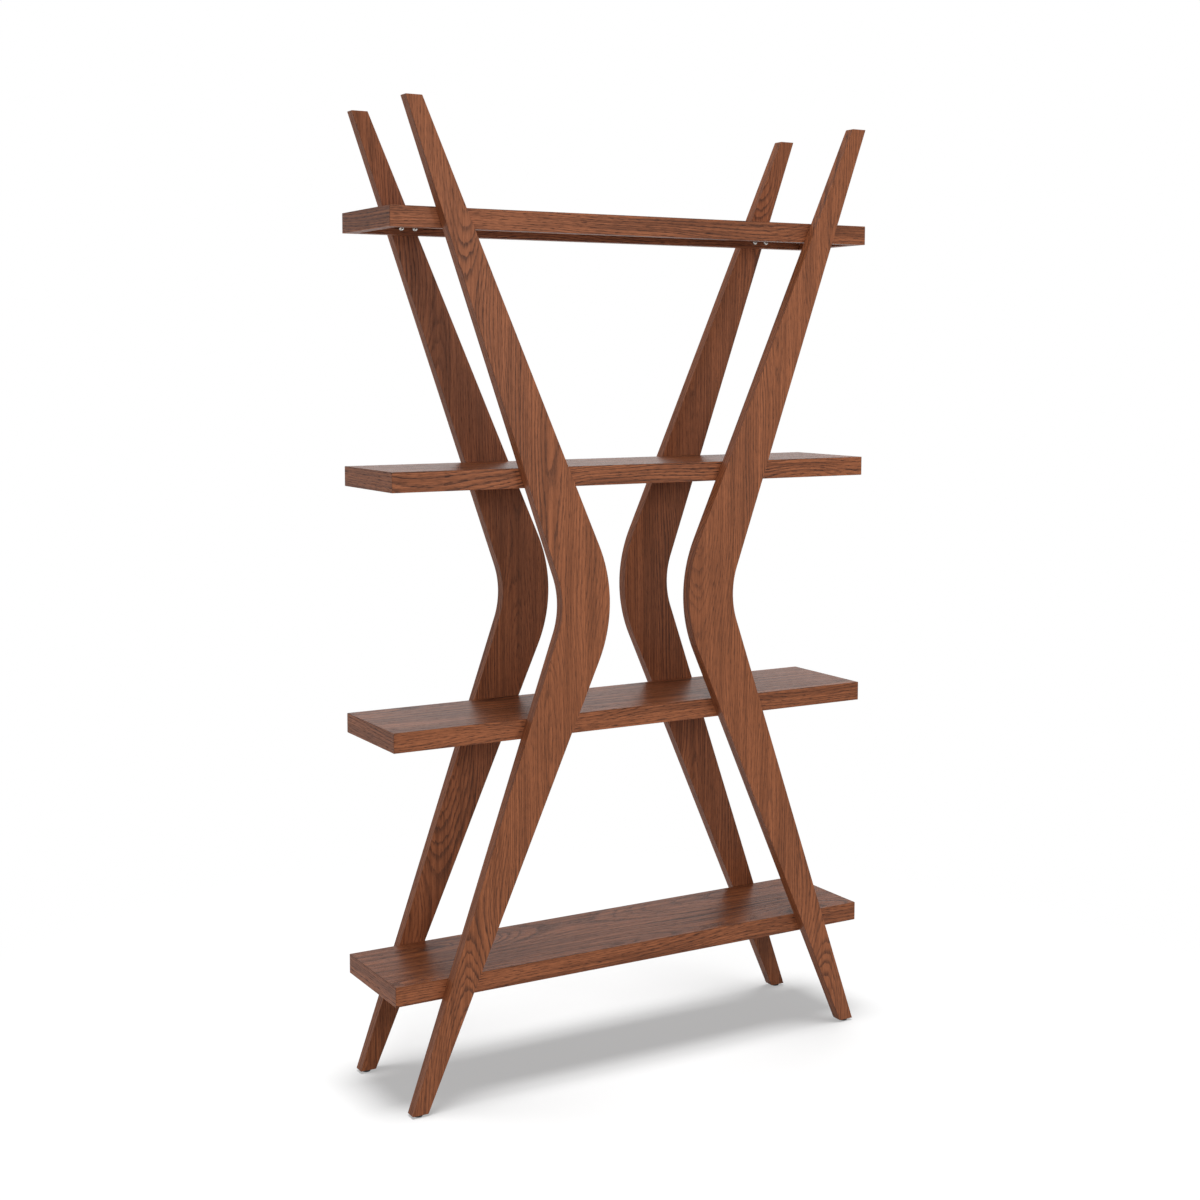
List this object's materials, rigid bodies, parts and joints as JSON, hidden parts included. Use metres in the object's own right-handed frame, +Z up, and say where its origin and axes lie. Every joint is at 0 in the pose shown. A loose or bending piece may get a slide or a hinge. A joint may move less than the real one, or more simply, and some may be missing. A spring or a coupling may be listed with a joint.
{
  "type": "shelving unit",
  "caption": "Open etagere whose hollow tray shelves are bolted between hourglass-shaped board legs at front and back, in brown stained open-grain wood, on small floor glides.",
  "frame": {"origin": "on the floor under the middle of the object", "axes": "+Z up the legs' height, X along the shelves' length, -Y towards the front; turned half round, the object looks the same"},
  "size_m": [1.02, 0.2526, 1.777],
  "materials": {
    "leg_wood": "satin",
    "shelf_top_wood": "satin",
    "rail_wood": "satin",
    "bolt_steel": "satin",
    "glide_plastic": "matte"
  },
  "bodies": {
    "root": {"front_left_leg": "leg_wood", "front_right_leg": "leg_wood", "back_left_leg": "leg_wood", "back_right_leg": "leg_wood", "front_left_glide": "glide_plastic", "front_right_glide": "glide_plastic", "back_left_glide": "glide_plastic", "back_right_glide": "glide_plastic", "bottom_shelf_panel": "shelf_top_wood", "bottom_shelf_front_rail": "rail_wood", "bottom_shelf_back_rail": "rail_wood", "bottom_shelf_left_rail": "rail_wood", "bottom_shelf_right_rail": "rail_wood", "bottom_shelf_front_left_inner_bolt": "bolt_steel", "bottom_shelf_front_left_outer_bolt": "bolt_steel", "bottom_shelf_front_right_inner_bolt": "bolt_steel", "bottom_shelf_front_right_outer_bolt": "bolt_steel", "bottom_shelf_back_left_inner_bolt": "bolt_steel", "bottom_shelf_back_left_outer_bolt": "bolt_steel", "bottom_shelf_back_right_inner_bolt": "bolt_steel", "bottom_shelf_back_right_outer_bolt": "bolt_steel", "lower_shelf_panel": "shelf_top_wood", "lower_shelf_front_rail": "rail_wood", "lower_shelf_back_rail": "rail_wood", "lower_shelf_left_rail": "rail_wood", "lower_shelf_right_rail": "rail_wood", "lower_shelf_front_left_inner_bolt": "bolt_steel", "lower_shelf_front_left_outer_bolt": "bolt_steel", "lower_shelf_front_right_inner_bolt": "bolt_steel", "lower_shelf_front_right_outer_bolt": "bolt_steel", "lower_shelf_back_left_inner_bolt": "bolt_steel", "lower_shelf_back_left_outer_bolt": "bolt_steel", "lower_shelf_back_right_inner_bolt": "bolt_steel", "lower_shelf_back_right_outer_bolt": "bolt_steel", "upper_shelf_panel": "shelf_top_wood", "upper_shelf_front_rail": "rail_wood", "upper_shelf_back_rail": "rail_wood", "upper_shelf_left_rail": "rail_wood", "upper_shelf_right_rail": "rail_wood", "upper_shelf_front_left_inner_bolt": "bolt_steel", "upper_shelf_front_left_outer_bolt": "bolt_steel", "upper_shelf_front_right_inner_bolt": "bolt_steel", "upper_shelf_front_right_outer_bolt": "bolt_steel", "upper_shelf_back_left_inner_bolt": "bolt_steel", "upper_shelf_back_left_outer_bolt": "bolt_steel", "upper_shelf_back_right_inner_bolt": "bolt_steel", "upper_shelf_back_right_outer_bolt": "bolt_steel", "top_shelf_panel": "shelf_top_wood", "top_shelf_front_rail": "rail_wood", "top_shelf_back_rail": "rail_wood", "top_shelf_left_rail": "rail_wood", "top_shelf_right_rail": "rail_wood", "top_shelf_front_left_inner_bolt": "bolt_steel", "top_shelf_front_left_outer_bolt": "bolt_steel", "top_shelf_front_right_inner_bolt": "bolt_steel", "top_shelf_front_right_outer_bolt": "bolt_steel", "top_shelf_back_left_inner_bolt": "bolt_steel", "top_shelf_back_left_outer_bolt": "bolt_steel", "top_shelf_back_right_inner_bolt": "bolt_steel", "top_shelf_back_right_outer_bolt": "bolt_steel"}
  },
  "joints": []
}
